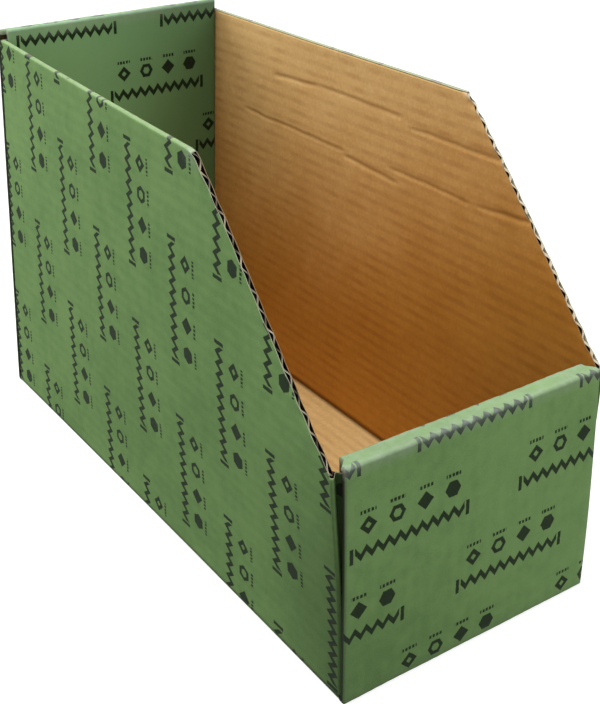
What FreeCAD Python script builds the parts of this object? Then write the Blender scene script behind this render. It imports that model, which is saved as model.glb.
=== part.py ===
import FreeCAD, Part
import os
import re
import Sketcher

# Open-fronted storage tray folded from one sheet of corrugated board, in millimetres.
# X runs across the width, Y from the front to the back, Z up. The origin is the middle of the underside.

doc = FreeCAD.newDocument("tray_box")
sheet = doc.addObject("Spreadsheet::Sheet", "Sizes")

# Driving dimensions of the folded box, the board and its cuts
driving = [
    ("box_width", 190.0),          # outside, across the side walls
    ("box_length", 450.0),         # outside, front panel to back panel
    ("back_height", 294.0),        # top of the rolled back wall
    ("front_height", 157.5),       # top of the rolled front wall
    ("top_edge_length", 306.0),    # level top edge of a side wall, from the back
    ("board_thickness", 3.9),      # single-wall board with a coarse flute
    ("layer_gap", 0.25),           # free space between layers that lie together
    ("roll_headroom", 2.6),        # free space over the ears, under a rolled top
    ("fold_radius", 2.2),          # outside of every fold
    ("ear_length", 86.0),          # how far an ear reaches inward
    ("ear_taper", 9.0),            # slant of an ear's free end
    ("tab_width", 34.0),           # lock tab of an inner panel
    ("tab_place", 45.0),           # middle of a tab from the middle of the box
    ("tab_recess", 0.4),           # tab end above the underside
    ("slot_gap", 0.5),             # free space round a tab in its slot
    ("flute_pitch", 8.36),         # one wave of the fluted layer
    ("flute_depth", 8.0),          # how far an open flute end is cut into the board
    ("liner_thickness", 0.45),     # flat layer on each face of the board
    ("medium_thickness", 0.55),    # fluted layer between them
    ("wave_land", 0.9),            # half of the stretch where a wave touches a liner
    ("crush_depth", 0.7),          # creases pressed into the inside of the right wall
    ("crush_width", 2.6),
]

# Crush creases: the two ends of each, as distances from the back and below the wall's top edge
crush_creases = [
    ("crush_high_rear", 107.0, 36.0, 260.0, 26.0),
    ("crush_high_front", 257.0, 33.5, 345.0, 30.5),
    ("crush_low_rear", 59.0, 68.5, 192.0, 74.5),
    ("crush_low_middle", 192.0, 74.5, 247.0, 72.5),
    ("crush_low_front", 235.0, 66.5, 374.0, 61.0),
]
crush_ends = ("start_back", "start_down", "end_back", "end_down")
for crease in crush_creases:
    driving += [(crease[0] + "_" + end, value) for end, value in zip(crush_ends, crease[1:])]

# Planes and heights that several panels share
derived = [
    ("half_width", "=box_width / 2"),
    ("half_length", "=box_length / 2"),
    ("inner_width", "=half_width - board_thickness"),
    ("roll_depth", "=3 * board_thickness + 2 * layer_gap"),
    ("wall_end", "=half_length - board_thickness - layer_gap"),
    ("panel_half", "=half_width - board_thickness - layer_gap"),
    ("panel_bottom", "=board_thickness + layer_gap"),
    ("wall_height", "=back_height - board_thickness - roll_headroom"),
    ("ear_height", "=front_height - board_thickness - roll_headroom"),
    ("kink_place", "=half_length - top_edge_length"),
    ("slope_run", "=kink_place + wall_end"),
    ("slope_rise", "=wall_height - ear_height"),
    ("flute_count", "=floor(slope_rise / flute_pitch)"),
    ("flute_start", "=ear_height + (slope_rise - flute_count * flute_pitch) / 2"),
    ("flute_run", "=flute_pitch * slope_run / slope_rise"),
    ("flute_front", "=wall_end - (flute_start - ear_height) * slope_run / slope_rise"),
]
for row, (alias, content) in enumerate(driving + derived, start=1):
    sheet.set("A%d" % row, alias)
    sheet.set("B%d" % row, str(content))
    sheet.setAlias("B%d" % row, alias)
doc.recompute()
size_names = [alias for alias, content in driving + derived]

body = doc.addObject("PartDesign::Body", "folded_board")
body.Label = "folded_board"


def sized(expression):
    """The expression with the sheet's name before each size."""
    return re.sub(r"[a-z_]+", lambda word: "Sizes." + word[0] if word[0] in size_names else word[0], expression)


def origin_plane(role):
    """Origin plane of the body, such as YZ_Plane."""
    return [feature for feature in body.Origin.OriginFeatures if feature.Role == role][0]


def flipped(corners):
    """The same outline on the other side of the middle plane."""
    return [("-( " + across + " )", up) for across, up in corners]


def draw(name, role, outlines, plane="0"):
    """Sketch of closed outlines whose corners are pairs of expressions, on a plane shifted along its normal."""
    sketch = body.newObject("Sketcher::SketchObject", name)
    sketch.AttachmentSupport = [(origin_plane(role), "")]
    sketch.MapMode = "FlatFace"
    sketch.setExpression("AttachmentOffset.Base.z", sized(plane))
    for corners in outlines:
        places = [[float(sketch.evalExpression(sized(part))) for part in corner] for corner in corners]
        points = [FreeCAD.Vector(across, up, 0) for across, up in places]
        first = sketch.GeometryCount
        count = len(points)
        for index, point in enumerate(points):
            sketch.addGeometry(Part.LineSegment(point, points[(index + 1) % count]))
        for index, corner in enumerate(corners):
            line = first + index
            sketch.addConstraint(Sketcher.Constraint("Coincident", line, 2, first + (index + 1) % count, 1))
            for kind, part, place in zip(("DistanceX", "DistanceY"), corner, places[index]):
                bound = sketch.addConstraint(Sketcher.Constraint(kind, -1, 1, line, 1, place))
                sketch.setExpression("Constraints[%d]" % bound, sized(part))
    return sketch


def extrude(kind, name, sketch, length, side="One side", reverse=False):
    """Pad or pocket of a sketch, and a check that it changed the solid the right way."""
    before = body.Shape.Volume if body.Tip else 0.0
    feature = body.newObject("PartDesign::" + kind, name)
    feature.Profile = sketch
    feature.SideType = side
    feature.Reversed = reverse
    feature.setExpression("Length", sized(length))
    doc.recompute()
    gained = body.Shape.Volume - before
    if (gained <= 0) if kind == "Pad" else (gained >= 0):
        raise RuntimeError(name + " does not change the solid")
    return feature


# Floor and both side walls as one folded channel, then the slanted front edges of the walls
channel = [
    ("-half_width", "0"), ("half_width", "0"), ("half_width", "wall_height"), ("inner_width", "wall_height"),
    ("inner_width", "board_thickness"), ("-inner_width", "board_thickness"), ("-inner_width", "wall_height"),
    ("-half_width", "wall_height"),
]
extrude("Pad", "floor_and_walls", draw("wall_section", "XZ_Plane", [channel]), "2 * wall_end", "Symmetric")

above_slope = [
    ("-wall_end", "ear_height"), ("kink_place", "wall_height"), ("kink_place", "back_height"),
    ("-half_length", "back_height"), ("-half_length", "ear_height"),
]
extrude("Pocket", "slanted_edges", draw("slope_outline", "YZ_Plane", [above_slope]), "2 * box_width", "Symmetric")

# Front and back outer panels, one strip with the floor
strip = [
    ("-half_length", "0"), ("half_length", "0"), ("half_length", "back_height"),
    ("half_length - board_thickness", "back_height"), ("half_length - board_thickness", "board_thickness"),
    ("board_thickness - half_length", "board_thickness"), ("board_thickness - half_length", "front_height"),
    ("-half_length", "front_height"),
]
extrude("Pad", "outer_panels", draw("strip_section", "YZ_Plane", [strip]), "box_width", "Symmetric")

# Lock slots in the floor, one round each tab of the inner panels
near_line = "half_length - roll_depth - slot_gap"
far_line = "half_length - roll_depth + board_thickness + slot_gap"
slots = []
for middle in ("tab_place", "-tab_place"):
    left = middle + " - tab_width / 2 - slot_gap"
    right = middle + " + tab_width / 2 + slot_gap"
    slots.append([(left, near_line), (right, near_line), (right, far_line), (left, far_line)])
    slots.append([(left, "-( " + far_line + " )"), (right, "-( " + far_line + " )"),
                  (right, "-( " + near_line + " )"), (left, "-( " + near_line + " )")])
extrude("Pocket", "lock_slots", draw("slot_outline", "XY_Plane", slots), "board_thickness", reverse=True)


def roll_over(wall, height, side):
    """Top band with diagonal ends and the inner panel with its two lock tabs; side is -1 in front, 1 behind."""
    outer = "%d * half_length" % side
    under = "%d * ( half_length - board_thickness )" % side
    caught = "%d * ( half_length - roll_depth + board_thickness )" % side
    inner = "%d * ( half_length - roll_depth )" % side
    band = [
        ("-half_width", outer), ("half_width", outer), ("half_width", under), ("panel_half", caught),
        ("panel_half", inner), ("-panel_half", inner), ("-panel_half", caught), ("-half_width", under),
    ]
    band_plan = draw(wall + "_band_plan", "XY_Plane", [band], height + " - board_thickness")
    extrude("Pad", wall + "_band", band_plan, "board_thickness")
    panel = [("-panel_half", "panel_bottom")]
    for middle in ("-tab_place", "tab_place"):
        start = middle + " - tab_width / 2"
        stop = middle + " + tab_width / 2"
        panel += [(start, "panel_bottom"), (start, "tab_recess"), (stop, "tab_recess"), (stop, "panel_bottom")]
    panel += [("panel_half", "panel_bottom"), ("panel_half", height), ("-panel_half", height)]
    back_face = caught if side > 0 else inner
    panel_outline = draw(wall + "_inner_outline", "XZ_Plane", [panel], "-( " + back_face + " )")
    extrude("Pad", wall + "_inner_panel", panel_outline, "board_thickness")


def ears(wall, top, side):
    """Pair of ears on the side walls, caught between the outer and the inner panel of one end wall."""
    ear = [
        ("-half_width", "panel_bottom"), ("ear_length - ear_taper - half_width", "panel_bottom"),
        ("ear_length - half_width", "panel_bottom + ear_taper"), ("ear_length - half_width", top),
        ("-half_width", top),
    ]
    back_face = "wall_end" if side > 0 else "board_thickness - wall_end"
    ear_outline = draw(wall + "_ear_outline", "XZ_Plane", [ear, flipped(ear)], "-( " + back_face + " )")
    extrude("Pad", wall + "_ears", ear_outline, "board_thickness")


roll_over("front", "front_height", -1)
roll_over("back", "back_height", 1)
ears("front", "ear_height", -1)
ears("back", "wall_height", 1)

# Rounded outside of every fold: ends of each rounded edge as X, Y and Z, None where it runs along that axis
half_width, half_length, wall_end = sheet.half_width, sheet.half_length, sheet.wall_end
inner_line = half_length - sheet.roll_depth
fold_lines = [
    (None, -half_length, 0.0), (None, half_length, 0.0), (None, -half_length, sheet.front_height),
    (None, -inner_line, sheet.front_height), (None, half_length, sheet.back_height),
    (None, inner_line, sheet.back_height), (-half_width, None, 0.0), (half_width, None, 0.0),
    (-half_width, -wall_end, None), (half_width, -wall_end, None), (-half_width, wall_end, None),
    (half_width, wall_end, None),
]


def lies_on(edge, line):
    """Whether every end of an edge lies on a fold line."""
    near = 1e-4
    return all(place is None or abs(point[axis] - place) < near
               for point in (vertex.Point for vertex in edge.Vertexes) for axis, place in enumerate(line))


fold_edges = ["Edge%d" % number for number, edge in enumerate(body.Shape.Edges, start=1)
              if any(lies_on(edge, line) for line in fold_lines)]
square_sheet = body.Tip
folds = body.newObject("PartDesign::Fillet", "folds")
folds.Base = (square_sheet, fold_edges)
folds.setExpression("Radius", sized("fold_radius"))
doc.recompute()

# Open flute ends along both slanted edges: each cell lies between the wave and one of the two liners
wide = "( flute_pitch / 2 - wave_land )"
narrow = "wave_land / 2"
outer_cell = [
    ("liner_thickness - half_width", "flute_start + flute_pitch / 2 - " + wide),
    ("liner_thickness - half_width", "flute_start + flute_pitch / 2 + " + wide),
    ("-inner_width - liner_thickness - medium_thickness", "flute_start + flute_pitch / 2 + " + narrow),
    ("-inner_width - liner_thickness - medium_thickness", "flute_start + flute_pitch / 2 - " + narrow),
]
inner_cell = [
    ("-inner_width - liner_thickness", "flute_start + flute_pitch - " + wide),
    ("-inner_width - liner_thickness", "flute_start + flute_pitch + " + wide),
    ("liner_thickness + medium_thickness - half_width", "flute_start + flute_pitch + " + narrow),
    ("liner_thickness + medium_thickness - half_width", "flute_start + flute_pitch - " + narrow),
]
slope_line = body.newObject("Sketcher::SketchObject", "slope_line")
slope_line.AttachmentSupport = [(origin_plane("YZ_Plane"), "")]
slope_line.MapMode = "FlatFace"
slope_line.addGeometry(Part.LineSegment(FreeCAD.Vector(0, 0, 0), FreeCAD.Vector(sheet.slope_run, sheet.slope_rise, 0)),
                       True)
slope_line.addConstraint(Sketcher.Constraint("Coincident", 0, 1, -1, 1))
for kind, size in (("DistanceX", "slope_run"), ("DistanceY", "slope_rise")):
    bound = slope_line.addConstraint(Sketcher.Constraint(kind, -1, 1, 0, 2, sheet.get(size)))
    slope_line.setExpression("Constraints[%d]" % bound, sized(size))


def flute_ends(name, cell, fewer, start):
    """Row of one kind of cell along both slanted edges; start is the plane in front of the lowest cell."""
    cell_outline = draw(name + "_outline", "XZ_Plane", [cell, flipped(cell)], start)
    lowest = extrude("Pocket", name, cell_outline, "flute_depth + flute_run / 2")
    row = body.newObject("PartDesign::LinearPattern", name + "_row")
    row.Originals = [lowest]
    row.Direction = (slope_line, ["Axis0"])
    row.Mode = "Extent"
    row.Occurrences = int(sheet.flute_count) - fewer
    steps = "( flute_count - 1 - %d )" % fewer
    row.setExpression("Length", sized(steps + " * sqrt( flute_pitch ^ 2 + flute_run ^ 2 )"))
    body.Tip = row
    doc.recompute()


flute_ends("outer_cells", outer_cell, 0, "flute_front")
flute_ends("inner_cells", inner_cell, 1, "flute_front - flute_run / 2")

# Crush creases on the inside of the right wall
for crease in crush_creases:
    start_back, start_down, end_back, end_down = (crease[0] + "_" + end for end in crush_ends)
    rise = "crush_width / 2"
    groove = [
        ("half_length - " + start_back, "wall_height - " + start_down + " - " + rise),
        ("half_length - " + start_back, "wall_height - " + start_down + " + " + rise),
        ("half_length - " + end_back, "wall_height - " + end_down + " + " + rise),
        ("half_length - " + end_back, "wall_height - " + end_down + " - " + rise),
    ]
    groove_outline = draw(crease[0] + "_outline", "YZ_Plane", [groove], "inner_width")
    extrude("Pocket", crease[0], groove_outline, "crush_depth", reverse=True)

doc.recompute()
for item in doc.Objects:
    if "Invalid" in item.State or "Error" in item.State:
        raise RuntimeError(item.Name + " failed: " + str(item.State))
solid = body.Shape
if solid.isNull() or not solid.isValid() or len(solid.Solids) != 1:
    raise RuntimeError("folded_board is not one valid solid")

os.makedirs("parts", exist_ok=True)
solid.exportStep("parts/" + body.Label + ".step")
bounds = solid.BoundBox
print("folded_board %.1f x %.1f x %.1f mm" % (bounds.XLength, bounds.YLength, bounds.ZLength))
print("volume %.0f cubic mm, %d faces" % (solid.Volume, len(solid.Faces)))
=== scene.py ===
import math

import bpy
import numpy as np
from mathutils import Matrix, Vector


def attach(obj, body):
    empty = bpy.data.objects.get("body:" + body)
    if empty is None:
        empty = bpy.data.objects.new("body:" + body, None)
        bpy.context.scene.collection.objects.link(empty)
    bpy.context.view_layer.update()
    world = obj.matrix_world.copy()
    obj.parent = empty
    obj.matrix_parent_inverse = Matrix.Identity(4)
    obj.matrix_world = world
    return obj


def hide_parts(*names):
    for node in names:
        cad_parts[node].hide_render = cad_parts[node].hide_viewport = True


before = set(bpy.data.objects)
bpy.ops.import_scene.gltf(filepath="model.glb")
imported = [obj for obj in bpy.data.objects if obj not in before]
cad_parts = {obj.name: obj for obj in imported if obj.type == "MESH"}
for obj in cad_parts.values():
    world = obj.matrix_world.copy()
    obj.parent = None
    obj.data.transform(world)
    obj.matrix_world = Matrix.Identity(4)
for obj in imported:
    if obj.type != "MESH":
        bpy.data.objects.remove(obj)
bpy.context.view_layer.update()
print("packed part loaded")


# Shader nodes

class Signal:
    # A socket that can stand in a sum: each operator adds one Math node
    def __init__(self, net, socket):
        self.net, self.socket = net, socket

    def math(self, operation, *others):
        values = dict(enumerate((self, *others)))
        return self.net.make("ShaderNodeMath", {"operation": operation}, values)

    def __add__(self, other): return self.math("ADD", other)
    def __sub__(self, other): return self.math("SUBTRACT", other)
    def __mul__(self, other): return self.math("MULTIPLY", other)
    def __truediv__(self, other): return self.math("DIVIDE", other)
    def __rsub__(self, other): return (self * -1).math("ADD", other)
    def __abs__(self): return self.math("ABSOLUTE")
    def __lt__(self, other): return self.math("LESS_THAN", other)
    def __gt__(self, other): return self.math("GREATER_THAN", other)
    __radd__ = __add__

    def least(self, other): return self.math("MINIMUM", other)
    def most(self, other): return self.math("MAXIMUM", other)

    def pick(self, name):
        return Signal(self.net, self.socket.node.outputs[name])


class Net:
    # The nodes of one material, with one Principled shader whose fixed values are set on its sockets
    def __init__(self, name, fixed):
        self.material = bpy.data.materials.new(name)
        self.material.use_nodes = True
        self.tree = self.material.node_tree
        self.tree.nodes.clear()
        self.output = self.tree.nodes.new("ShaderNodeOutputMaterial")
        self.shader = self.make("ShaderNodeBsdfPrincipled", {}, fixed)
        self.tree.links.new(self.shader.socket, self.output.inputs["Surface"])

    def make(self, kind, settings, values, out=0):
        # any node: its settings first, then a value or a link for each socket named
        node = self.tree.nodes.new(kind)
        for key, value in settings.items():
            setattr(node, key, value)
        for key, value in values.items():
            if isinstance(value, Signal):
                self.tree.links.new(value.socket, node.inputs[key])
            else:
                node.inputs[key].default_value = value
        return Signal(self, node.outputs[out])

    def drive(self, name, value):
        self.tree.links.new(value.socket, self.shader.socket.node.inputs[name])

    def blend(self, share, first, second, mode="MIX"):
        # a colour between two, where share is 0 at the first
        return self.make("ShaderNodeMix", {"data_type": "RGBA", "blend_type": mode},
                         {0: share, 6: first, 7: second}, 2)

    def noise(self, where, scale, detail, rough=0.5):
        return self.make("ShaderNodeTexNoise", {}, {"Vector": where, "Scale": scale, "Detail": detail,
                                                    "Roughness": rough})

    def between(self, value, low, high, start=0.0, end=1.0):
        # value taken smoothly from low..high to start..end
        return self.make("ShaderNodeMapRange", {"interpolation_type": "SMOOTHSTEP"},
                         {"Value": value, 1: low, 2: high, 3: start, 4: end})

    def attribute(self, name):
        return self.make("ShaderNodeAttribute", {"attribute_name": name}, {}, "Fac")

    def place(self):
        return self.make("ShaderNodeTexCoord", {}, {}, "Object")

    def blank(self):
        # the place on the flat blank, in millimetres across and along the long strip
        flat = self.make("ShaderNodeUVMap", {"uv_map": "blank"}, {})
        flat = self.make("ShaderNodeSeparateXYZ", {}, {0: flat})
        return flat * 1000, flat.pick("Y") * 1000

    def bumps(self, height, strength, distance=0.0006):
        values = {"Strength": strength, "Distance": distance, "Height": height}
        self.drive("Normal", self.make("ShaderNodeBump", {}, values))

    def cutAndPaintedShade(self, colour, grain, look):
        # bare paper where the liner is cut, then the painted shade of hollows, gaps, folds and corners
        raw = self.between(self.attribute("raw") + (grain - 0.5) * 0.3, 0.0, 1.0)
        colour = self.blend(raw, colour, paint(look["cut"]))
        return raw, self.blend(self.attribute("paintedShade"), colour, paint(look["paintedShade"]))


def paint(code):
    # a colour written as six hexadecimal digits, as linear light
    parts = [int(code[i:i + 2], 16) / 255 for i in (0, 2, 4)]
    return (*(p / 12.92 if p < 0.04045 else ((p + 0.055) / 1.055) ** 2.4 for p in parts), 1.0)


# Sheet geometry, in millimetres until a mesh is made

board = {
    "width": 190.0, "length": 450.0, "backHeight": 294.0, "frontHeight": 157.5, "rollWidth": 12.2,
    "thickness": 3.9, "liner": 0.45, "fluting": 0.45, "pitch": 8.36, "washboard": 0.06,
    "foldRadius": 2.0, "foldRows": 5,  # foldRows lie between the two ends of each fold
    "rimWidth": 0.9, "rimDepth": 2.05, "rimTurn": 150.0, "rimColumns": 8,
}
pitch, thickness, foldRows = board["pitch"], board["thickness"], board["foldRows"]
halfWidth, halfLength = board["width"] / 2, board["length"] / 2


def smooth(value, low, high):
    # 3t^2 - 2t^3 of the share of the way from low to high
    t = np.clip((value - low) / (high - low), 0, 1)
    return t * t * (3 - 2 * t)


def bell(value, width):
    # 1 at 0, falling off on both sides: exp(-(value / width)^2)
    return np.exp(-(value / width) ** 2)


def crests(across):
    # 1 where a flute's crest lies under the outer liner, -1 halfway to the next
    return np.cos(2 * np.pi * across / pitch)


def uneven(a, b, size, seed):
    # about -1 to 1: twice the mean of seven sines of a and b in random directions, with waves near size long
    rng, waves = np.random.default_rng(seed), 7
    turns = rng.uniform(0, np.pi, waves)
    stretches = rng.uniform(0.6, 1.7, waves)
    starts = rng.uniform(0, 6.3, waves)
    total = 0.0
    for turn, stretch, start in zip(turns, stretches, starts):
        total = total + np.sin((a * np.cos(turn) + b * np.sin(turn)) * 2 * np.pi / (size * stretch) + start)
    return total / (waves / 2)


def foldedPath(corners, stops, depth):
    # A line through the corners, moved left by depth. Each left-hand corner is an arc of
    # radius (fold radius - depth), or at least 0.3, about centre = corner + (next - last direction) * radius.
    # stops gives each side's points as distances from its first corner at depth 0.
    tightest, squeezed = 0.3, 6.0  # the stops move only this near to a corner
    corners = np.asarray(corners, float)
    sides = np.diff(corners, axis=0)
    lengths = np.hypot(*sides.T)
    ahead = sides / lengths[:, None]
    left = np.stack([-ahead[:, 1], ahead[:, 0]], 1)
    shallow = board["foldRadius"]
    deep = max(shallow, depth + tightest)
    turn = np.linspace(0, np.pi / 2, foldRows + 2)[1:-1, None]
    parts = []
    for i, (start, length, marks) in enumerate(zip(corners, lengths, stops)):
        near, far = float(i > 0), float(i < len(sides) - 1)
        middle = min(squeezed, length / 2)
        known = [near * shallow, middle, length - middle + 1e-6, length - far * shallow]
        moved = [near * deep, middle, length - middle + 1e-6, length - far * deep]
        marks = np.clip(marks, known[0], known[3])
        place = np.interp(marks, known, moved)[:, None]
        parts.append(start + ahead[i] * place + left[i] * depth)
        if far:
            centre = corners[i + 1] + (ahead[i + 1] - ahead[i]) * deep
            parts.append(centre + (deep - depth) * (ahead[i] * np.sin(turn) - ahead[i + 1] * np.cos(turn)))
    return np.concatenate(parts)


def along(path):
    # distance travelled at each point of a path
    return np.concatenate([[0], np.cumsum(np.hypot(*np.diff(path, axis=0).T))])


def closedSheet(name, outer, inner, keep, blank, marks, material):
    # Two faces on one grid, joined along every edge of the kept cells: the outer face's points are
    # numbered row by row, the inner face's follow them, and each open side of a cell gets one wall quad.
    rows, columns = outer.shape[:2]
    number = np.arange(rows * columns).reshape(rows, columns)
    under = rows * columns
    a, b, c, d = number[:-1, :-1], number[1:, :-1], number[1:, 1:], number[:-1, 1:]
    ring = np.pad(keep, 1)
    quads = [np.stack([a, b, c, d], -1)[keep], np.stack([d, c, b, a], -1)[keep] + under]
    borders = ((a, d, ring[:-2, 1:-1]), (c, b, ring[2:, 1:-1]),
               (b, a, ring[1:-1, :-2]), (d, c, ring[1:-1, 2:]))
    for first, second, beside in borders:
        bare = keep & ~beside
        one, two = first[bare], second[bare]
        quads.append(np.stack([one, two, two + under, one + under], -1))
    faceCount = 2 * int(keep.sum())
    quads = np.concatenate(quads)
    used, corners = np.unique(quads, return_inverse=True)
    corners = corners.reshape(-1)
    points = np.concatenate([outer.reshape(-1, 3), inner.reshape(-1, 3)])[used] * 0.001
    mesh = bpy.data.meshes.new(name)
    mesh.vertices.add(len(used))
    mesh.vertices.foreach_set("co", points.astype(np.float32).ravel())
    mesh.loops.add(corners.size)
    mesh.loops.foreach_set("vertex_index", corners.astype(np.int32))
    mesh.polygons.add(len(quads))
    mesh.polygons.foreach_set("loop_start", np.arange(0, corners.size, 4, dtype=np.int32))
    mesh.polygons.foreach_set("use_smooth", np.arange(len(quads)) < faceCount)
    mesh.update(calc_edges=True)
    flat = np.concatenate([blank.reshape(-1, 2)] * 2)[used] * 0.001
    mesh.uv_layers.new(name="blank").data.foreach_set("uv", flat[corners].astype(np.float32).ravel())
    for key, (front, back) in marks.items():
        both = np.concatenate([np.broadcast_to(m, (rows, columns)).ravel() for m in (front, back)])[used]
        mesh.attributes.new(key, "FLOAT", "POINT").data.foreach_set("value", both.astype(np.float32))
    mesh.validate()
    piece = bpy.data.objects.new(name, mesh)
    bpy.context.scene.collection.objects.link(piece)
    mesh.materials.append(material)
    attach(piece, "root")
    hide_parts("folded_board")
    print(f"{name}: {len(quads) * 2} triangles")


# Print, as shapes in the flat blank's own millimetres

printLook = {
    "rowPitch": 54.0, "rowStart": 18.0, "repeat": 124.0, "shift": 46.0, "clusterHalf": 39.5,
    "barUp": 11.0, "barLength": 39.0, "barHeight": 2.6, "zigzag": 7.8, "stroke": 1.5, "capOut": 2.4,
    "capHeight": 5.0, "motifDown": 5.5, "motif": 5.2, "motifGap": 10.0, "labelDown": 14.6, "label": 5.4,
    "labelHeight": 1.15, "dash": 1.3, "dashGap": 0.42,
}


def printedMask(across, down):
    # Less than 0 on ink. Rows of clusters are set off by a fixed shift; in each cluster a zigzag bar stands
    # over diamonds and hexagons, hollow on one side and solid on the other, with broken dashes below.
    look = printLook
    stroke, motif, gap, half = look["stroke"], look["motif"], look["motifGap"], look["repeat"] / 2
    down = down - look["rowStart"]
    row = (down / look["rowPitch"]).math("FLOOR")
    u = (across + row * look["shift"]).math("WRAP", half, -half)
    v = down - (row + 0.5) * look["rowPitch"]
    rise = v - look["barUp"]
    wave = (u / look["zigzag"]).math("PINGPONG", 0.5) * (4 * look["barHeight"]) - look["barHeight"]
    bar = (abs(rise - wave) - stroke * 1.55).most(abs(u) - look["barLength"])
    caps = abs(abs(u) - look["barLength"] - look["capOut"]) - stroke * 0.85
    caps = caps.most(abs(rise) - look["capHeight"])
    pair = u.math("WRAP", 2 * gap, -2 * gap)
    solid = (u > 0) * 9  # larger than any motif, so that it closes the hole
    w = abs(v + look["motifDown"])
    x = abs(pair + gap)
    corner = (x * 0.866 + w * 0.5).most(w)  # cosine and sine of 30 degrees
    hexagon = (corner - motif * 0.98).most(motif * 0.5 - corner - solid)
    tip = abs(pair - gap) + w
    diamond = (tip - motif * 1.15).most(motif * 0.4 - tip - solid)
    beat = look["dashGap"] - abs(u.math("WRAP", look["dash"], -look["dash"]))
    dash = (abs(abs(pair) - gap) - look["label"]).most(abs(v + look["labelDown"]) - look["labelHeight"])
    shapes = hexagon.least(diamond).least(dash.most(beat))
    return bar.least(caps).least(shapes.most(abs(u) - look["clusterHalf"]))


def printedPaper():
    look = {"base": "85a967", "deep": "6f9356", "pale": "94b77e", "fresh": "7cad78", "ink": "142210",
            "scuffAndSheenTint": "b4c0b3", "cut": "bfb8a4", "paintedShade": "161d12"}
    net = Net("printedPaper", {"Specular IOR Level": 0.1})
    place = net.place()
    across, down = net.blank()
    blotch, cloud = net.noise(place, 11, 3), net.noise(place, 90, 4, 0.6)
    grain = net.noise(place, 1500, 3, 0.7)
    stripe = (across * (2 * math.pi / pitch)).math("COSINE")
    # the faint flute stripe in the tone is a painted washboard shade
    tone = net.between(blotch * 0.5 + cloud * 0.5 + stripe * 0.015, 0.3, 0.7)
    colour = net.blend(tone, paint(look["deep"]), paint(look["base"]))
    colour = net.blend(net.between(grain, 0.35, 0.7, 0.0, 0.34), colour, paint(look["pale"]))
    colour = net.blend(net.attribute("fresh") * 0.85, colour, paint(look["fresh"]))
    edge = printedMask(across, down) + (net.noise(place, 520, 3) - 0.5) * 0.8
    cover = net.between(net.noise(place, 800, 3, 0.7), 0.2, 0.5, 0.84, 0.98)
    ink = net.between(edge, -0.2, 0.2, 1.0, 0.0) * cover
    colour = net.blend(ink, colour, paint(look["ink"]))
    # pale scuffs where the paper is worn, and on the top bands a painted sheen as well
    rubbed = net.noise(place, 170, 5, 0.7) + net.noise(place, 35, 2) * 0.5
    scuffedAndSheened = net.attribute("wearAndSheen") * net.between(rubbed, 0.55, 1.0, 0.45, 1.0) * 0.8
    colour = net.blend(scuffedAndSheened, colour, paint(look["scuffAndSheenTint"]))
    raw, colour = net.cutAndPaintedShade(colour, grain, look)
    net.drive("Base Color", colour)
    net.drive("Roughness", 0.74 - ink * 0.06 + raw * 0.15 + (cloud - 0.5) * 0.12)
    net.bumps(grain * 0.5 + net.noise(place, 380, 4, 0.65) * 0.8 + stripe * 0.15, 0.14)
    return net.material


def kraftPaper():
    look = {"base": "e0be82", "deep": "d1aa6c", "low": "ca8d37", "lowDeep": "b77a2b", "pale": "ecc793",
            "line": "a87540", "crushAndShade": "6a4019", "cut": "ebe2cf", "paintedShade": "1c1207"}
    net = Net("kraftPaper", {"Specular IOR Level": 0.2})
    place = net.place()
    across, down = net.blank()
    blotch, cloud = net.noise(place, 16, 4, 0.6), net.noise(place, 120, 4, 0.65)
    grain, speck = net.noise(place, 1300, 3, 0.7), net.noise(place, 420, 3, 0.75)
    # painted shade: the wall's liner is deeper in colour towards the floor and the front, standing in for the
    # dimmer, redder light there, and the floor's own is plain
    up = abs(across) - halfWidth + down.least(50) * 0.5 + (blotch - 0.5) * 60
    height = net.between(up, 70.0, 330.0).most(abs(across) < halfWidth - 1)
    tone = net.between(blotch * 0.4 + cloud * 0.35 + speck * 0.3, 0.36, 0.72)
    lowShadeColour = net.blend(tone, paint(look["lowDeep"]), paint(look["low"]))
    colour = net.blend(height, lowShadeColour, net.blend(tone, paint(look["deep"]), paint(look["base"])))
    fibres = net.between(grain * 0.5 + speck * 0.5, 0.46, 0.72, 0.0, 0.35) * height
    colour = net.blend(fibres, colour, paint(look["pale"]))
    # dark lines along the flutes: a painted washboard shade
    stripe = (across * (2 * math.pi / pitch) + (cloud - 0.5) * 1.2).math("COSINE")
    line = net.between(stripe, -0.5, 1.0) * net.between(net.noise(place, 60, 3), 0.35, 0.7, 0.06, 0.27)
    colour = net.blend(line, colour, paint(look["line"]), "MULTIPLY")
    # the crush colour darkens the creases and the floor's edges: crushed paper with painted shade on top
    colour = net.blend(net.attribute("crushAndShade") * 0.72, colour, paint(look["crushAndShade"]))
    colour = net.cutAndPaintedShade(colour, grain, look)[1]
    net.drive("Base Color", colour)
    net.drive("Roughness", 0.8 + (grain - 0.5) * 0.2)
    net.bumps(grain * 0.5 + speck * 0.5 + stripe * 0.12, 0.2)
    return net.material


def flutingPaper():
    look = {"base": "efe4cd", "deep": "d3bd97", "paintedShade": "120b05"}
    net = Net("flutingPaper", {"Specular IOR Level": 0.15})
    place = net.place()
    grain, cloud = net.noise(place, 1500, 3, 0.7), net.noise(place, 120, 3)
    tone = net.between(grain * 0.5 + cloud * 0.5, 0.3, 0.7)
    colour = net.blend(tone, paint(look["deep"]), paint(look["base"]))
    # painted shade inside the flutes, away from their cut ends
    colour = net.blend(net.attribute("paintedShade"), colour, paint(look["paintedShade"]))
    net.drive("Base Color", colour)
    net.drive("Roughness", 0.85 + (grain - 0.5) * 0.1)
    net.bumps(grain, 0.2, 0.0004)
    return net.material


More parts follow.
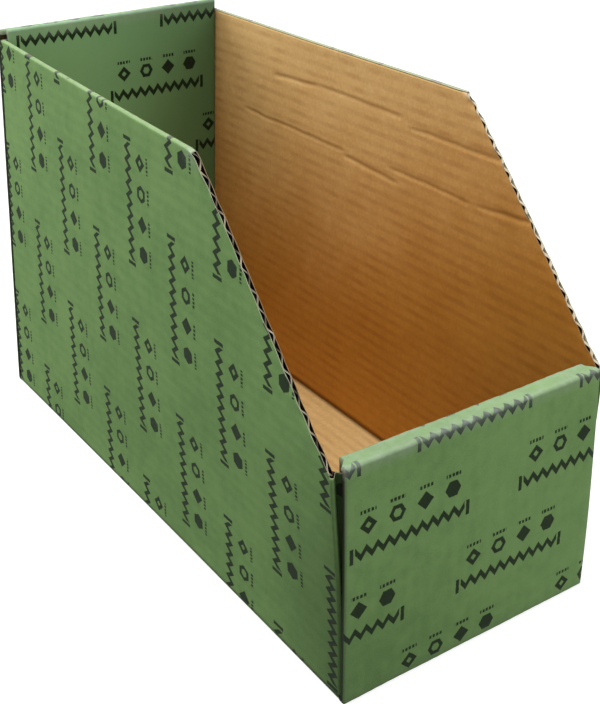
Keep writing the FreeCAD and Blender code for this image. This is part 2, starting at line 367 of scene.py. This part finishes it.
def corePaper():
    # the cut end of the fluting as a thin wave line, where depth = 0.5 + 0.42 sin(2 pi across / pitch), with
    # the hollows between painted dark as shade
    look = {"hollow": "2a1c0e", "wave": "b3935f", "grain": "6b4c2a", "swing": 0.42}
    net = Net("corePaper", {"Specular IOR Level": 0.2})
    place = net.place()
    across = net.blank()[0]
    wave = (across * (2 * math.pi / pitch)).math("SINE") * look["swing"]
    line = net.between(abs(net.attribute("depth") - 0.5 - wave), 0.05, 0.13, 1.0, 0.0)
    grain = net.noise(place, 1500, 3, 0.7)
    colour = net.blend(line, paint(look["hollow"]), paint(look["wave"]))
    colour = net.blend(net.between(grain, 0.4, 0.7, 0.0, 0.4), colour, paint(look["grain"]), "MULTIPLY")
    net.drive("Base Color", colour)
    net.drive("Roughness", 0.85 + (grain - 0.5) * 0.1)
    return net.material


greenFace, kraftFace, flutingFace, coreFace = printedPaper(), kraftPaper(), flutingPaper(), corePaper()
print("papers mixed")


# How the folded sheet has settled out of square

settled = {
    "leftFrontOut": 7.6, "leftBackIn": 9.4, "leftBackLow": 3.1, "rightBackOut": 7.4, "rightKinkOut": 10.0,
    "rightSlopeOut": 1.3, "backAcross": 7.0, "backLeftIn": 2.2, "frontLeftOut": 0.8, "frontRightIn": 5.1,
    "frontBack": 4.0, "backRollUp": 1.3, "backRollRun": 12.0, "fullRise": 290.0,
}


def settle(points, part):
    # Each wall leans by a product of powers: toFront and toBack run 0 to 1 along the length, rise runs
    # 0 to 1 up the tall walls and frontRise up the front wall, so the floor stays where it is.
    x, y, z = points[..., 0], points[..., 1], points[..., 2]
    toFront = np.clip((halfLength - y) / board["length"], 0, 1)
    toBack = np.clip((halfLength + y) / board["length"], 0, 1)
    rise, frontRise = np.clip(z / settled["fullRise"], 0, 1.02), z / board["frontHeight"]
    low = 1 - np.clip(rise, 0, 1)
    if part == "left":
        moveX = -settled["leftFrontOut"] * toFront ** 1.2 * smooth(z, 0, 175) ** 1.3
        moveX = moveX + (settled["leftBackIn"] * rise - settled["leftBackLow"] * low) * toBack ** 2
    elif part == "right":
        more = settled["rightKinkOut"] - settled["rightBackOut"]
        out = settled["rightBackOut"] + more * smooth(-y, -100, 80)
        moveX = out * rise ** 1.2 * smooth(y, -420, -80)
        moveX = moveX + settled["rightSlopeOut"] * bell(y + 175, 50) * smooth(z, 90, 160)
    else:
        back, front = smooth(y, 150, 200), smooth(-y, 150, 200)
        toLeft = np.clip(-x / halfWidth, 0, 1)
        moveX = back * rise * (settled["backAcross"] + settled["backLeftIn"] * toLeft)
        moveX = moveX - settled["leftBackLow"] * low * toBack ** 2 * toLeft
        share = (x + halfWidth) / board["width"]
        inward = settled["frontLeftOut"] + (settled["frontRightIn"] - settled["frontLeftOut"]) * share
        moveX = moveX - front * inward * np.clip(frontRise, 0, 1.1) ** 1.5
    moveY = settled["frontBack"] * np.clip(frontRise, 0, 1.02) ** 1.5 * smooth(-y, 100, 215)
    onBackRoll = (y > 205) * (part == "strip") * smooth(z, 150, 290)
    moveZ = settled["backRollUp"] * np.clip((halfLength - y) / settled["backRollRun"], 0, 1) * onBackRoll
    return np.stack([x + moveX, y + moveY, z + moveZ], -1)


# Long strip: inner front panel, front band, front panel, floor, back panel, back band, inner back panel

strip = {
    "innerHalf": 90.85, "panelEnd": 0.4, "panelBottom": 4.15, "bandRipple": 0.05, "wobble": 0.10,
    "bandFrom": 8.3, "bandTo": 3.9,  # from the outside face: where the band's diagonal end starts and stops
    "tabFrom": 28.0, "tabTo": 62.0, "slotFrom": 27.5, "slotTo": 62.5, "slotNear": 212.2, "slotFar": 217.3,
    "floorRim": 2.2, "linerHalf": 91.6, "coreHalf": 90.9, "coreGap": 0.12,
}
# band is a painted sheen on the top bands; from gap on, the entries give painted shade: on the rolled rim,
# the bottom fold, the inner back panel's corner, the front panel's low corner, the floor's edges and the
# hidden faces
stripWear = {
    "fold": 0.22, "foldReach": 3.2, "edge": 0.1, "edgeReach": 1.6, "band": 0.5, "cutEdge": 0.45,
    "gap": 0.9, "lowFoldShade": 0.7, "lowReach": 1.8, "corner": 0.5, "frontCornerShade": 0.18, "pressed": 0.8, "hidden": 0.9,
}


def stripRows():
    # each side's stops, as distances from its first corner at depth 0
    radius, low, roll = board["foldRadius"], strip["panelEnd"], board["rollWidth"]
    length, back, front = board["length"], board["backHeight"], board["frontHeight"]
    crisp = radius + 0.35  # a row close to each fold keeps its shading narrow
    band = np.array([radius, crisp, 3.9, 5.0, 6.1, 7.2, 8.3, roll - crisp, roll - radius])
    innerFront = np.concatenate([[0, strip["panelBottom"] - low], np.linspace(10, front - low - crisp, 22),
                                 [front - low - radius]])
    outerFront = np.concatenate([[radius], np.linspace(crisp, front - crisp, 26), [front - radius]])
    nearWall = np.array([radius, crisp, 4.1, 4.3, 7.8, 12.7])
    floor = np.concatenate([nearWall, np.linspace(17, length - 17, 60), length - nearWall[::-1]])
    outerBack = np.concatenate([[radius], np.linspace(crisp, back - crisp, 40), [back - radius]])
    innerBack = np.concatenate([[radius], np.linspace(crisp, back - low - 10, 36),
                                [back - strip["panelBottom"], back - low]])
    return [innerFront, band, outerFront, floor, outerBack, band, innerBack]


def buildStrip():
    front, back, low = board["frontHeight"], board["backHeight"], strip["panelEnd"]
    half, roll = halfLength, halfLength - board["rollWidth"]
    corners = [(-roll, low), (-roll, front), (-half, front), (-half, 0),
               (half, 0), (half, back), (roll, back), (roll, low)]
    stops = stripRows()
    pathOuter, pathInner = foldedPath(corners, stops, 0.0), foldedPath(corners, stops, thickness)
    y, z = pathOuter[:, :1], pathOuter[:, 1:]
    travelled = along(pathOuter)[:, None]
    travelled = travelled - travelled[np.argmin(np.abs(y) + z * 10)]
    onFloor = (z < 0.01) & (np.abs(y) < 220.8)
    offFloor = ~onFloor
    innerPanel = np.abs(y) < half - 8
    edge = np.interp(np.abs(y), [half - strip["bandFrom"], half - strip["bandTo"]],
                     [strip["innerHalf"], halfWidth])
    edge = np.where(z < 0.01, halfWidth, edge)
    inSlotRow = onFloor & (np.abs(y) > strip["slotNear"]) & (np.abs(y) < strip["slotFar"])
    slotRow = inSlotRow[:-1] & inSlotRow[1:]
    below = offFloor & innerPanel & (z < strip["panelBottom"] + 0.05)
    lowRow = below[:-1] & below[1:] & ((z[:-1] < 1) | (z[1:] < 1))

    tabColumns = [s * strip[k] for s in (-1, 1) for k in ("tabFrom", "tabTo", "slotFrom", "slotTo")]
    middle = np.union1d(np.arange(-42, 43) * (pitch / 4), tabColumns)
    middle = np.broadcast_to(middle, (len(y), len(middle)))

    def sheetPoints(x, depth):
        # the folded sheet's point at a width x and a depth: between its outer and inner paths
        share = (depth / thickness)[..., None]
        yz = pathOuter[:, None] * (1 - share) + pathInner[:, None] * share
        return settle(np.stack([x, yz[..., 0], yz[..., 1]], -1), "strip")

    def rolledColumns(depth):
        # widths and depths of the columns: the flat middle, then a quarter turn or more round each long edge
        rim = np.where(onFloor, strip["floorRim"], board["rimWidth"])
        rimDepth = np.where(onFloor, strip["floorRim"], board["rimDepth"])
        turn = np.radians(np.where(onFloor, 90.0, board["rimTurn"]))
        angle = np.linspace(0, 1, board["rimColumns"]) * turn
        beyond = edge - rim + (rim - depth) * np.sin(angle)
        deeper = depth + (rimDepth - depth) * (1 - np.cos(angle))
        x = np.concatenate([-beyond[:, ::-1], middle, beyond], 1)
        return x, np.concatenate([deeper[:, ::-1], np.full(middle.shape, depth), deeper], 1)

    def flatColumns(limit):
        return np.concatenate([-limit, middle, limit], 1)

    def keptCells(x):
        # the inner panels end in tabs only, and the floor has a slot for each of them
        centre = np.abs(x[:-1, 1:] + x[:-1, :-1]) / 2
        tab = (centre > strip["tabFrom"]) & (centre < strip["tabTo"])
        slot = (centre > strip["slotFrom"]) & (centre < strip["slotTo"])
        return ~(lowRow & ~tab) & ~(slotRow & slot)

    def flatPlace(x):
        return np.stack([x, np.broadcast_to(travelled, x.shape)], -1)

    # outer liner
    x, deepFace = rolledColumns(0.0)
    xUnder, deepUnder = rolledColumns(board["liner"])
    frontBand, backBand = np.maximum(z - front + 4, 0) * (y < 0), np.maximum(z - back + 4, 0) * (y > 0)
    onBand = smooth(frontBand + backBand, 0, 3)
    dip = board["washboard"] * (0.5 - 0.5 * crests(x))
    ripple = strip["bandRipple"] * (crests(x) + 1.2 * uneven(x, travelled, 19, 3))
    wobble = strip["wobble"] * uneven(x, travelled, 70, 5) * offFloor
    shift = dip * (1 - onBand) + ripple * onBand + wobble
    folds = [bell(np.hypot(y - foldY, z - foldZ), stripWear["foldReach"]) for foldY, foldZ in corners[1:-1]]
    edgeWear = bell(edge - np.abs(x), stripWear["edgeReach"]) * offFloor
    # painted shade along the bottom fold, where the box stands on the floor
    lowFoldShade = bell(z, stripWear["lowReach"]) * offFloor
    wearAndSheen = stripWear["fold"] * np.max(folds, axis=0) + stripWear["edge"] * edgeWear
    # the band share paints a pale sheen over each whole top band, on top of the wear at its folds and edges
    wearAndSheen = np.clip(wearAndSheen + stripWear["band"] * onBand, 0, 1) * (1 - lowFoldShade)
    cutEdge = stripWear["cutEdge"] * smooth(deepFace, 0.3, 0.8) * smooth(z, 60, 140)
    # painted shade where the rolled rim turns in under the edge, towards the gap between the layers
    gap = stripWear["gap"] * smooth(deepFace, 0.6, 1.8) * offFloor * (1 - onBand)
    sheltered = offFloor & innerPanel & (y > 0)
    # painted shade on the inner back panel, darker towards the right wall
    backPanelShade = stripWear["corner"] * smooth(x, -45, 95) * sheltered
    # painted shade on the front panel, darker low down towards its left corner
    frontCornerShade = stripWear["frontCornerShade"] * smooth(-z, -110, 0) * smooth(-x, -60, 90) * ((y < -218) & offFloor)
    gap = np.clip(np.maximum(gap, stripWear["lowFoldShade"] * lowFoldShade) + backPanelShade + frontCornerShade, 0, 1)
    marks = {"wearAndSheen": (wearAndSheen, 0), "raw": (cutEdge, 1), "paintedShade": (gap, 1), "fresh": (sheltered, 0)}
    closedSheet("strip_outer_liner", sheetPoints(x, deepFace + shift), sheetPoints(xUnder, deepUnder + shift),
                keptCells(x), flatPlace(x), marks, greenFace)

    # inner liner
    x = flatColumns(np.where(onFloor, strip["linerHalf"], edge - 0.9))
    keep = keptCells(x)
    dip = board["washboard"] * (0.5 + 0.5 * crests(x))
    # a painted shade line along the floor's long edges, where the floor meets the walls
    pressed = stripWear["pressed"] * bell(strip["linerHalf"] - np.abs(x), 1.0) * onFloor
    # the liner's back inside the board, and its faces hidden on the panels and bands, are painted dark as
    # shade; the floor's face keeps its colour
    marks = {"raw": (1, 0), "crushAndShade": (0, pressed), "paintedShade": (1, stripWear["hidden"] * smooth(z, 4.5, 8))}
    hidden = sheetPoints(x, thickness - board["liner"] - dip)
    closedSheet("strip_inner_liner", hidden, sheetPoints(x, thickness - dip), keep, flatPlace(x), marks,
                kraftFace)

    # core
    x = flatColumns(np.where(onFloor, strip["coreHalf"], edge - 1.8))
    inset = board["liner"] + strip["coreGap"]
    nearFace, farFace = (sheetPoints(x, np.full(x.shape, depth)) for depth in (inset, thickness - inset))
    closedSheet("strip_core", nearFace, farFace, keep, flatPlace(x), {"depth": (0, 1)}, coreFace)


# Side walls, with the ears folded in behind the front and back panels

sideWall = {
    "bottom": 2.2, "top": 287.5, "end": 220.85, "kink": -81.0, "slopeFoot": 151.0,
    "earTop": 151.4, "earBottom": 4.15, "earEnd": 9.0, "earLength": 86.0,
    "groove": 4.2, "grooveAt": 89.3, "grooveWidth": 2.4, "wobble": 0.06, "floorLine": 0.7,
    "rag": 0.3, "tornReach": 4.5, "cornerReach": 12.0, "outerRows": 56, "flutingRows": 26,
}
eachWall = {
    "left": {"pinch": 0.0, "outerCells": 1.0, "torn": 0.3, "peel": 0.9, "rimRaw": 0.1, "rows": 56,
             "perFlute": 6},
    "right": {"pinch": 0.38, "outerCells": 0.0, "torn": 1.3, "peel": 0.3, "rimRaw": 0.4, "rows": 110,
              "perFlute": 8},
}
# painted shade in the colour: the front fold, the wall's foot, the front low corner, the ears, the right
# wall's front and low inside, the creases and the left wall's cut fluting; the other entries are wear and cut
# paper
wallWear = {
    "slope": 0.35, "kink": 0.8, "rim": 0.24, "rimRaw": 0.2, "frontFoldShade": 0.72, "floorEdgeShade": 0.6,
    "lowCornerShade": 0.4, "foldCornerShade": 0.16, "innerSlope": 0.5, "innerKink": 0.5, "ear": 0.9, "frontLowShade": 0.26,
    "crease": 0.22, "leftFlutingShade": 0.66, "leftFlutingShadeSwing": 0.4,
}
creases = {
    "runs": [(130, 252.7, 68, 256.7), (74, 257.5, -28, 256.8), (-28.5, 251.2, -126, 252.4),
             (173.5, 216.8, 29, 216.4), (40, 213.6, -26.5, 209.7), (-9.5, 218.4, -99, 217.4),
             (-99, 217.4, -154, 222.6)],  # each as y, z to y, z
    "depth": 0.85, "width": 1.5, "waver": 0.5, "flutesPushed": 1.2, "flutesWidth": 6.0,
}


def creased(y, z, width):
    # 1 along the crease lines, falling off over the width, and ending softly
    total = np.zeros(y.shape)
    for y0, z0, y1, z1 in creases["runs"]:
        dy, dz = y1 - y0, z1 - z0
        run = np.clip(((y - y0) * dy + (z - z0) * dz) / (dy ** 2 + dz ** 2), 0, 1)
        away = np.hypot(y - y0 - run * dy, z - z0 - run * dz + creases["waver"] * uneven(y, 0, 40, 9))
        fade = smooth(run, 0, 0.12) * smooth(1 - run, 0, 0.12)
        total = np.maximum(total, fade * bell(away, width))
    return total


def wallRows(fine):
    # stops along the front ear, the wall and the back ear; the wall's first ones are close together
    radius, ear, length = board["foldRadius"], sideWall["earLength"], 2 * sideWall["end"]
    earStops = np.concatenate([[0, 20, 40, 60, 72], np.linspace(74.5, ear - radius, 8)])
    near = np.array([0, 0.5, 1.1, 1.9, 3.0, 4.4, 6.2, 8.4, 11.0]) + radius
    wall = np.concatenate([near, np.linspace(14 + radius, length - radius - 0.4, fine), [length - radius]])
    return [earStops, wall, ear - earStops[::-1]]


def wallGrid(fine):
    # the paths round the wall and its ears at both faces, the distance along them, and the first and last
    # rows of the wall itself
    end, x0, x1 = sideWall["end"], sideWall["earEnd"], halfWidth
    corners = [(x0, -end), (x1, -end), (x1, end), (x0, end)]
    stops = wallRows(fine)
    outer, inner = foldedPath(corners, stops, 0.0), foldedPath(corners, stops, thickness)
    first = len(stops[0]) + foldRows
    last = first + len(stops[1]) - 1
    travelled, wall = along(outer), slice(first, last + 1)
    travelled = travelled - np.interp(0, outer[wall, 1], travelled[wall])
    return {"outer": outer, "inner": inner, "travelled": travelled, "first": first, "last": last}


def buildWall(side, part):
    own, isLeft, isRight = eachWall[part], side < 0, side > 0
    flatTop = sideWall["top"] - board["rimWidth"]

    def heights(perFlute):
        step = pitch / perFlute
        return np.append(np.arange(sideWall["bottom"], flatTop - 0.6 * step, step), flatTop)

    def overTheRim(zs, depth):
        # heights and depths of a face's columns: straight up, then over the top edge
        angle = np.linspace(0, 1, board["rimColumns"])[1:] * math.radians(board["rimTurn"])
        up = flatTop + (board["rimWidth"] - depth) * np.sin(angle)
        over = depth + (board["rimDepth"] - depth) * (1 - np.cos(angle))
        return np.concatenate([zs, up]), np.concatenate([np.full(len(zs), depth), over])

    def wallPoints(grid, zs, depth):
        # x, y and z between the outer and inner paths by depth, the distance behind the slanted edge, and
        # where that edge cuts the wall. Above the ear the wall's rows are squeezed towards the back so that
        # the first of them follows the slanted edge, and the ear dips in behind its fold.
        outer, first, last = grid["outer"], grid["first"], grid["last"]
        top, foot, end = sideWall["top"], sideWall["slopeFoot"], sideWall["end"]
        z = np.broadcast_to(zs, depth.shape)
        yFirst, yLast = outer[first, 1], outer[last, 1]
        yEdge = (np.minimum(z, top) - foot) * (sideWall["kink"] + end) / (top - foot) - end
        yEdge = np.maximum(yFirst, yEdge)
        share = (depth / thickness)[..., None]
        xy = outer[:, None] * (1 - share) + grid["inner"][:, None] * share
        x, y = xy[..., 0], xy[..., 1]
        rows = np.arange(len(outer))[:, None]
        onWall = (rows >= first) & (rows <= last)
        squeezed = np.maximum(yEdge + (y - yFirst) * (yLast - yEdge) / (yLast - yFirst), yEdge)
        groove = bell(x - sideWall["grooveAt"], sideWall["grooveWidth"]) * smooth(z, 15, 150) * (rows < first)
        y = np.where(onWall, squeezed, y + sideWall["groove"] * groove)
        return x, y, z, y - yEdge, onWall & (z > foot)

    def placed(grid, zs, depth):
        x, y, z = wallPoints(grid, zs, depth)[:3]
        return settle(np.stack([side * x, y, z], -1), part)

    def pinched(depth, z, reach, cut):
        # near the slanted edge both faces are pressed together a little, most at its top, and the cut wanders
        near = bell(reach, sideWall["tornReach"]) * cut
        corner = bell(sideWall["top"] - z, sideWall["cornerReach"])
        press = np.minimum(own["pinch"] * (1 + corner) + 0.1 * corner, 0.6) * near
        rag = sideWall["rag"] * (1 + 2.2 * corner) * uneven(z, reach * 0.3, 9, 11 + side) * near
        peel = own["peel"] * corner * near * (depth < 1)
        return thickness / 2 + (depth - thickness / 2) * (1 - press) + rag - peel

    def keptCells(grid, zs, lowest, earDrop=0.0):
        # cells above the lowest height; an ear starts at its own bottom and ends at the height beside it
        first, last = grid["first"], grid["last"]
        rows = np.arange(len(grid["outer"]) - 1)[:, None]
        middle = (zs[1:] + zs[:-1]) / 2
        tooHigh = (rows < first) & (middle > sideWall["earTop"] - earDrop)
        tooHigh = tooHigh | (rows >= last) & (middle > sideWall["top"] - earDrop)
        onEar = (rows < first - foldRows - 1) | (rows > last + foldRows)
        return (middle > lowest) & ~tooHigh & ~(onEar & (middle < sideWall["earBottom"]))

    def paintedFluteShade(grid, z, reach, cut):
        # painted shade: 1 inside the flutes, falling to 0 at their cut ends
        rows = np.arange(len(grid["outer"]))[:, None]
        onFrontEar = rows < grid["first"]
        earTop = np.where(onFrontEar, sideWall["earTop"], sideWall["top"])
        onWall = np.where(cut, smooth(reach, 0.25, 1.2), 1.0)
        return np.where(onFrontEar | (rows > grid["last"]), smooth(earTop - z, 0.2, 1.6), onWall)

    def flatPlace(grid, y, z):
        # out from the floor by the height, and along by y on the wall or by the path on an ear
        rows = np.arange(len(y))[:, None]
        onWall = (rows >= grid["first"]) & (rows <= grid["last"])
        return np.stack([side * (halfWidth + z), np.where(onWall, y, grid["travelled"][:, None])], -1)

    def finish(name, faceOne, faceTwo, keep, blank, marks, material):
        if isLeft:  # a mirrored grid is read from its other end so that its faces still point out
            faceOne, faceTwo, keep, blank = faceOne[::-1], faceTwo[::-1], keep[::-1], blank[::-1]
            marks = {k: tuple(m[::-1] if np.ndim(m) == 2 else m for m in v) for k, v in marks.items()}
        closedSheet(name, faceOne, faceTwo, keep, blank, marks, material)

    # outer liner, rolled over the top edge
    grid = wallGrid(sideWall["outerRows"])
    zFace, deepFace = overTheRim(heights(6), 0.0)
    zUnder, deepUnder = overTheRim(heights(6), board["liner"])
    flat = np.ones((len(grid["outer"]), 1))
    x, y, z, reach, cut = wallPoints(grid, zFace, flat * deepFace)
    dip = board["washboard"] * (0.5 - 0.5 * crests(halfWidth + z)) * smooth(z, 4, 10)
    lift = dip + sideWall["wobble"] * uneven(y, z, 80, 21 + side)
    depth = pinched(flat * deepFace, z, reach, cut) + lift
    face = placed(grid, zFace, depth)
    x, y, z, reach, cut = wallPoints(grid, zFace, depth)
    belowTop = sideWall["top"] - z
    kinkWear = wallWear["kink"] * bell(np.hypot(y - sideWall["kink"], belowTop), 7)
    # on the walls this attribute carries wear only
    wearAndSheen = wallWear["slope"] * bell(reach, 0.8) * cut + kinkWear + wallWear["rim"] * bell(belowTop, 1.0)
    overEdge = flat * deepFace * (z > flatTop)
    rimRaw = wallWear["rimRaw"] * smooth(overEdge, 0.1, 0.8) + own["rimRaw"] * smooth(overEdge, 1.2, 2.8)
    # painted shade on the left wall: darker low down towards the front corner, and in a strip beside the
    # front fold
    lowCornerShade = wallWear["lowCornerShade"] * smooth(-z, -180, -40) * smooth(-y, 130, 222)
    frontCornerShade = (lowCornerShade + wallWear["foldCornerShade"] * smooth(-y, 205, 222)) * isLeft
    onFrontEar = (np.arange(len(x)) < grid["first"])[:, None]
    # painted shade on the front ear in the groove behind the front fold, and along the wall's foot by the
    # floor
    frontFoldShade = wallWear["frontFoldShade"] * smooth(halfWidth - 0.1 - x, 0, 2.5) * onFrontEar
    gap = np.maximum(frontFoldShade, wallWear["floorEdgeShade"] * bell(z - sideWall["bottom"], 1.4) + frontCornerShade)
    blank = flatPlace(grid, y, z)
    x, y, z, reach, cut = wallPoints(grid, zUnder, flat * deepUnder)
    depth = pinched(flat * deepUnder, z, reach, cut) + lift
    under = placed(grid, zUnder, depth)
    x, y, z, reach, cut = wallPoints(grid, zUnder, depth)
    # painted shade inside the flutes behind the outer liner, on the left wall only
    shade = own["outerCells"] * paintedFluteShade(grid, z, reach, cut)
    marks = {"wearAndSheen": (np.clip(wearAndSheen, 0, 1), 0), "raw": (rimRaw, 1), "paintedShade": (gap, shade)}
    finish(part + "_outer_liner", face, under, keptCells(grid, zFace, 0.0), blank, marks, greenFace)

    # inner liner, with the pressed creases on the right wall and a pressed line along the floor, both also
    # painted darker as shade
    grid, zs = wallGrid(own["rows"]), heights(own["perFlute"])
    flat = np.ones((len(grid["outer"]), len(zs)))
    x, y, z, reach, cut = wallPoints(grid, zs, flat * thickness)
    dent = creased(y, z, creases["width"]) * isRight
    floorLine = bell(z - 4.9, 1.9)
    dip = board["washboard"] * (0.5 + 0.5 * crests(halfWidth + z))
    lift = sideWall["wobble"] * uneven(y, z, 80, 21 + side) - dip
    lift = lift - creases["depth"] * dent - sideWall["floorLine"] * floorLine
    inside = placed(grid, zs, pinched(flat * thickness, z, reach, cut) + lift)
    hidden = placed(grid, zs, pinched(flat * (thickness - board["liner"]), z, reach, cut) + lift)
    worn = wallWear["innerSlope"] * bell(reach, 0.7) * cut
    worn = worn + wallWear["innerKink"] * bell(np.hypot(y - sideWall["kink"], z - sideWall["top"]), 4)
    # painted shade: the ears' hidden kraft, and the right wall's inside darker towards the front and low down
    onEar = wallWear["ear"] * smooth(89 - x, 0, 3)
    frontLowShade = wallWear["frontLowShade"] * smooth(-y, -30, 190) * smooth(-z, -285, -110) * isRight
    # the creases and the floor line get the crush colour as painted shade, and the flute insides behind the
    # liner are painted dark
    marks = {"raw": (1, worn), "crushAndShade": (0, np.maximum(dent * wallWear["crease"], floorLine)),
             "paintedShade": (paintedFluteShade(grid, z, reach, cut), np.maximum(onEar, frontLowShade))}
    finish(part + "_inner_liner", hidden, inside, keptCells(grid, zs, 3.5, 2.5), flatPlace(grid, y, z), marks,
           kraftFace)

    # fluting: a wave between the liners, frayed thicker where the slanted edge cuts it
    grid, zs = wallGrid(sideWall["flutingRows"]), heights(10)
    x, y, z, reach, cut = wallPoints(grid, zs, np.ones((len(grid["outer"]), len(zs))))
    swing = (thickness - 2 * board["liner"] - board["fluting"]) / 2
    phase = 2 * np.pi * (halfWidth + z) / pitch
    wave = swing * np.sin(phase + 0.4 * uneven(z, y * 0.2, 24, 31 + side))
    slant = np.cos(phase) * swing * 2 * np.pi / pitch
    frayed = 1 + 0.6 * uneven(z, reach, 13, 41 + side)
    torn = own["torn"] * frayed * (1 - np.abs(wave / swing) ** 1.5) * bell(reach, 1.5) * cut
    lean = board["fluting"] / 2 * np.sqrt(1 + slant ** 2) + torn
    within = thickness / 2 - board["liner"] * 0.9
    pushed = creases["flutesPushed"] * creased(y, z, creases["flutesWidth"]) * isRight
    far = thickness / 2 + np.minimum(wave + lean, within - pushed)
    near = np.minimum(thickness / 2 + np.maximum(wave - lean, -within), far - 0.3)
    nearFace, farFace = (placed(grid, zs, pinched(depth, z, reach, cut)) for depth in (near, far))
    # painted shade on the left wall's cut fluting, so that its holes read dark
    leftFlutingShade = wallWear["leftFlutingShade"] + wallWear["leftFlutingShadeSwing"] * uneven(z, reach, 10, 51)
    shade = np.maximum(paintedFluteShade(grid, z, reach, cut), np.clip(leftFlutingShade, 0.3, 0.92) * isLeft)
    finish(part + "_fluting", nearFace, farFace, keptCells(grid, zs, 8.2, 1.5), flatPlace(grid, y, z),
           {"paintedShade": (own["outerCells"] * shade, shade)}, flutingFace)


buildStrip()
print("strip folded")
buildWall(1, "right")
buildWall(-1, "left")
print("side walls folded")


# Stage: pale floor, white surround, soft light, camera

stage = {
    "floorHalf": 6.0, "floorBounce": (0.04, 0.04, 0.04, 1.0), "floorSeen": (0.50, 0.50, 0.50, 1.0),
    "floorGlow": 0.74, "ambient": 0.50,
    "lamps": {  # place, what it points at, power, size
        "topLamp": ((-0.30, 0.35, 2.1), (0, 0, 0.1), 31.0, 1.5),
        "sideLamp": ((-0.70, 1.00, 0.85), (-0.05, 0.1, 0.2), 7.4, 0.7),
        "frontLamp": ((0.55, -1.20, 0.70), (0, 0, 0.1), 4.7, 0.7),
    },
}
white = (1.0, 1.0, 1.0, 1.0)


def background(net, plain, seen):
    # one shader for the camera, in mirrors and through glass; the plain one lights everything else
    rays = net.make("ShaderNodeLightPath", {}, {}, "Is Camera Ray")
    share = rays.most(rays.pick("Is Glossy Ray")).most(rays.pick("Is Transmission Ray"))
    mixed = net.make("ShaderNodeMixShader", {}, {0: share, 1: plain, 2: seen})
    net.tree.links.new(mixed.socket, net.output.inputs["Surface"])


def buildFloor():
    net = Net("paleFloor", {})
    plain = net.make("ShaderNodeBsdfDiffuse", {}, {"Color": stage["floorBounce"]})
    seen = net.make("ShaderNodeBsdfDiffuse", {}, {"Color": stage["floorSeen"]})
    glow = net.make("ShaderNodeEmission", {}, {"Color": white, "Strength": stage["floorGlow"]})
    background(net, plain, net.make("ShaderNodeAddShader", {}, {0: seen, 1: glow}))
    mesh = bpy.data.meshes.new("floor")
    half = stage["floorHalf"]
    corners = [(-half, -half, 0), (half, -half, 0), (half, half, 0), (-half, half, 0)]
    mesh.from_pydata(corners, [], [(0, 1, 2, 3)])
    mesh.materials.append(net.material)
    floor = bpy.data.objects.new("floor", mesh)
    bpy.context.scene.collection.objects.link(floor)


def buildWorld():
    world = bpy.data.worlds.new("surround")
    bpy.context.scene.world = world
    world.use_nodes = True
    net = Net.__new__(Net)  # a net round the world's own nodes, with no material
    net.tree = world.node_tree
    net.tree.nodes.clear()
    net.output = net.tree.nodes.new("ShaderNodeOutputWorld")
    plain = net.make("ShaderNodeBackground", {}, {"Color": white, "Strength": stage["ambient"]})
    seen = net.make("ShaderNodeBackground", {}, {"Color": white, "Strength": 1.0})
    background(net, plain, seen)


def softLamp(name, place, aim, power, size):
    lamp = bpy.data.lights.new(name, "AREA")
    lamp.energy, lamp.size = power, size
    holder = bpy.data.objects.new(name, lamp)
    holder.location = place
    holder.rotation_euler = (Vector(aim) - Vector(place)).to_track_quat("-Z", "Y").to_euler()
    bpy.context.scene.collection.objects.link(holder)


view = {
    "azimuth": -32.35, "elevation": 26.5, "roll": -0.8, "place": (-0.4089, -0.6145, 0.4978),
    "lens": 60.55, "sensor": 36.0, "shift": (0.0888, -0.0592), "clip": (0.01, 50.0),
}


def buildCamera():
    # back points from the object to the camera, and right and up are turned by the roll about it
    az, el, roll = (math.radians(view[k]) for k in ("azimuth", "elevation", "roll"))
    back = Vector((math.sin(az) * math.cos(el), -math.cos(az) * math.cos(el), math.sin(el)))
    level = Vector((math.cos(az), math.sin(az), 0))
    upright = back.cross(level)
    right = math.cos(roll) * level + math.sin(roll) * upright
    up = -math.sin(roll) * level + math.cos(roll) * upright
    data = bpy.data.cameras.new("photoCamera")
    data.lens, data.sensor_width, data.sensor_fit = view["lens"], view["sensor"], "AUTO"
    data.shift_x, data.shift_y = view["shift"]
    data.clip_start, data.clip_end = view["clip"]
    camera = bpy.data.objects.new("photoCamera", data)
    turned = Matrix((right, up, back)).transposed().to_4x4()
    turned.translation = Vector(view["place"])
    camera.matrix_world = turned
    bpy.context.scene.collection.objects.link(camera)
    bpy.context.scene.camera = camera


buildFloor()
buildWorld()
for name, lamp in stage["lamps"].items():
    softLamp(name, *lamp)
buildCamera()
bpy.context.scene.view_settings.view_transform = "Standard"
print("stage set")
